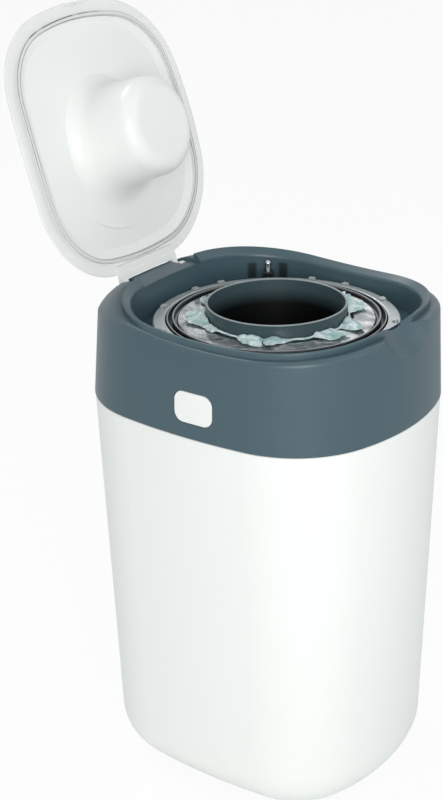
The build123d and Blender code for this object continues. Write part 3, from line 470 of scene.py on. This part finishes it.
def sharpLoops(mesh, corner):
    # the closed chains of edges where a CAD piece's faces meet at more than the corner angle
    shape = bmesh.new()
    shape.from_mesh(mesh)
    bmesh.ops.remove_doubles(shape, verts=shape.verts, dist=1e-6)
    sharp = {e for e in shape.edges if len(e.link_faces) == 2 and e.calc_face_angle(0) > corner}
    loops = []
    while sharp:
        edge = sharp.pop()
        first, last = edge.verts
        chain = [first.co.copy(), last.co.copy()]
        while last != first:
            follow = [e for e in last.link_edges if e in sharp]
            if not follow:
                break
            sharp.discard(follow[0])
            last = follow[0].other_vert(last)
            chain.append(last.co.copy())
        loops.append(np.array([tuple(p) for p in chain[:-1]]))
    shape.free()
    return [loop for loop in loops if len(loop) > 20]


def tube(path, radii, sides=8):
    # a closed tube along a closed path
    ahead = np.roll(path, -1, 0) - np.roll(path, 1, 0)
    ahead /= np.linalg.norm(ahead, axis=1)[:, None]
    flat = np.cross(ahead, np.roll(ahead, -len(path) // 4, 0))
    normal = np.mean(flat * np.sign(flat @ flat[0])[:, None], 0)
    normal /= np.linalg.norm(normal)
    side = np.cross(ahead, normal)
    turn = np.linspace(0, 2 * np.pi, sides, endpoint=False)
    ring = np.cos(turn)[None, :, None] * side[:, None, :] + np.sin(turn)[None, :, None] * normal
    points = path[:, None, :] + ring * radii[:, None, None]
    return points.reshape(-1, 3), gridFaces(len(path), sides, closed=True)


def evenly(path, count):
    closed = np.vstack([path, path[:1]])
    steps = np.linalg.norm(np.diff(closed, axis=0), axis=1)
    way = np.concatenate([[0], np.cumsum(steps)])
    at = np.linspace(0, way[-1], count, endpoint=False)
    return np.stack([np.interp(at, way, closed[:, k]) for k in range(3)], -1)


def bearing(path, centre, up):
    # degrees round the lid, from its +X side towards its free edge
    away = path - centre
    return np.degrees(np.arctan2(away @ up, away[:, 0]))


def sealShadowLines(look):
    # painted shadow lines: thin dark tubes along both edges of the lid's seal, thicker where the seal stands off the
    # lid
    turn = math.radians(look["open"])
    facing = np.array((0.0, -math.sin(turn), -math.cos(turn)))
    up = np.array((0.0, -math.cos(turn), math.sin(turn)))
    loops = sharpLoops(nodes["lid_seal"].data, look["corner"])
    loops = sorted(loops, key=lambda loop: -(loop @ facing).mean())[:2]
    loops.sort(key=lambda loop: -np.ptp(loop, 0).sum())
    for number, loop in enumerate(loops):
        centre = (loop.min(0) + loop.max(0)) / 2
        path = evenly(loop[np.argsort(bearing(loop, centre, up))], look["points"])
        around = bearing(path, centre, up)
        radii = np.full(look["points"], look["shadowLineRadius"])
        # wider painted shadow where the seal stands off the lid
        if number == 0:
            for low, high in look["gapSpans"]:
                radii[(around > low) & (around < high)] = look["gapRadius"]
        points, faces = tube(path, radii)
        pointOutwards(meshPiece("sealShadowLine%d" % number, points, faces, "seal_rubber", "lid", "seal_shadow_line"))


def coilSpring(node, along, look, joint=None, fixedEnd=0.0):
    # a wound wire in place of a plain tube, for a spring that a button presses
    low, high = (np.array(corner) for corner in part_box(node))
    centre = (low + high) / 2
    points = np.array([tuple(vertex.co) for vertex in nodes[node].data.vertices]) - centre
    points[:, along] = 0
    away = np.linalg.norm(points, axis=1)
    wire = min(look["wire"], away.max() - away.min())
    radius = away.max() - wire / 2
    length = high[along] - low[along] - wire
    turns = max(2, round(length / (look["restPitch"] * wire)))
    turn = np.linspace(0, 2 * np.pi * turns, turns * look["steps"] + 1)
    first, second = (along + 1) % 3, (along + 2) % 3
    path = np.tile(centre, (len(turn), 1))
    path[:, along] += length * (turn / turn[-1] - 0.5)
    path[:, first] += radius * np.cos(turn)
    path[:, second] += radius * np.sin(turn)
    ahead = np.gradient(path, axis=0)
    ahead /= np.linalg.norm(ahead, axis=1)[:, None]
    outward = path - centre
    outward[:, along] = 0
    outward /= np.linalg.norm(outward, axis=1)[:, None]
    side = np.cross(ahead, outward)
    round_ = np.linspace(0, 2 * np.pi, look["sides"], endpoint=False)
    ring = np.cos(round_)[None, :, None] * outward[:, None, :] + np.sin(round_)[None, :, None] * side[:, None, :]
    skin = (path[:, None, :] + ring * wire / 2).reshape(-1, 3)
    count, sides = len(path), look["sides"]
    faces = [(i * sides + k, i * sides + (k + 1) % sides, (i + 1) * sides + (k + 1) % sides, (i + 1) * sides + k)
             for i in range(count - 1) for k in range(sides)]
    faces += [tuple(range(sides))[::-1], tuple((count - 1) * sides + k for k in range(sides))]
    spring = meshPiece(node + "_coil", skin, faces, "spring_steel", "head")
    pointOutwards(spring)
    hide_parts(node)
    if joint:
        anchor = list(centre)
        anchor[along] = fixedEnd
        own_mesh(spring)


def pointOutwards(piece):
    shape = bmesh.new()
    shape.from_mesh(piece.data)
    bmesh.ops.recalc_face_normals(shape, faces=shape.faces)
    shape.to_mesh(piece.data)
    shape.free()


def freeze(piece):
    view = bpy.context.evaluated_depsgraph_get()
    mesh = bpy.data.meshes.new_from_object(piece.evaluated_get(view))
    piece.modifiers.clear()
    old = piece.data
    piece.data = mesh
    mesh.name = piece.name
    bpy.data.meshes.remove(old)


filmSheet(filmLook)
print("film done")
sealShadowLines(sealLook)
print("seal done")
for joint in frame["record"]["behaviour"]["joints"]:
    for soft in joint.get("deforming_nodes", []):
        coilSpring(soft["node"], 0, springLook, joint["name"], soft["fixed_end_x_m"])
coilSpring("pawl_spring", 2, springLook)
print("springs done")


# ---- Floor and light ----
def makeStage(look):
    mesh = bpy.data.meshes.new("floor")
    mesh.from_pydata([(-6, -6, 0), (6, -6, 0), (6, 6, 0), (-6, 6, 0)], [], [(0, 1, 2, 3)])
    floor = bpy.data.objects.new("floor", mesh)
    bpy.context.scene.collection.objects.link(floor)
    finish = Finish("floor", Roughness=0.8)
    cloud = finish.noise(1.5, 2.0)
    finish.set(Base_Color=finish.mix(cloud, look["floorColour"], tuple(1.02 * part for part in look["floorColour"])))
    mesh.materials.append(finish.material)
    ray = finish.node("LightPath")
    glow = finish.node("Emission", Color=(1.0, 1.0, 1.0), Strength=1.0)
    floorLight = Value(finish, finish.shader.outputs[0])
    seen = finish.node("MixShader", i0=ray * look["floorGlow"], i1=floorLight, i2=glow)
    finish.tree.links.new(seen.socket, finish.tree.nodes["Material Output"].inputs["Surface"])
    for number, lamp in enumerate(look["lamps"]):
        data = bpy.data.lights.new("lamp%d" % number, "AREA")
        data.shape = "DISK"
        data.size = lamp["size"]
        data.energy = lamp["power"]
        data.color = lamp["colour"]
        light = bpy.data.objects.new("lamp%d" % number, data)
        bpy.context.scene.collection.objects.link(light)
        towards = Vector((0, 0, 0.25)) - Vector(lamp["place"])
        light.matrix_world = Matrix.Translation(lamp["place"]) @ towards.to_track_quat("-Z", "Y").to_matrix().to_4x4()
    world = bpy.data.worlds.new("world")
    world.use_nodes = True
    bpy.context.scene.world = world
    tree = world.node_tree
    sky = tree.nodes["Background"]
    sky.inputs["Color"].default_value = (*look["skyColour"], 1)
    sky.inputs["Strength"].default_value = look["sky"]
    plain = tree.nodes.new("ShaderNodeBackground")
    plain.inputs["Color"].default_value = (1, 1, 1, 1)
    plain.inputs["Strength"].default_value = look["backdrop"]
    ray = tree.nodes.new("ShaderNodeLightPath")
    direct = ray.outputs["Is Camera Ray"]
    for kind in ("Is Glossy Ray", "Is Transmission Ray"):
        either = tree.nodes.new("ShaderNodeMath")
        either.operation = "MAXIMUM"
        tree.links.new(direct, either.inputs[0])
        tree.links.new(ray.outputs[kind], either.inputs[1])
        direct = either.outputs[0]
    choose = tree.nodes.new("ShaderNodeMixShader")
    tree.links.new(direct, choose.inputs[0])
    tree.links.new(sky.outputs[0], choose.inputs[1])
    tree.links.new(plain.outputs[0], choose.inputs[2])
    tree.links.new(choose.outputs[0], tree.nodes["World Output"].inputs["Surface"])


makeStage(lightLook)
bpy.context.scene.view_settings.view_transform = "Standard"
print("stage done")
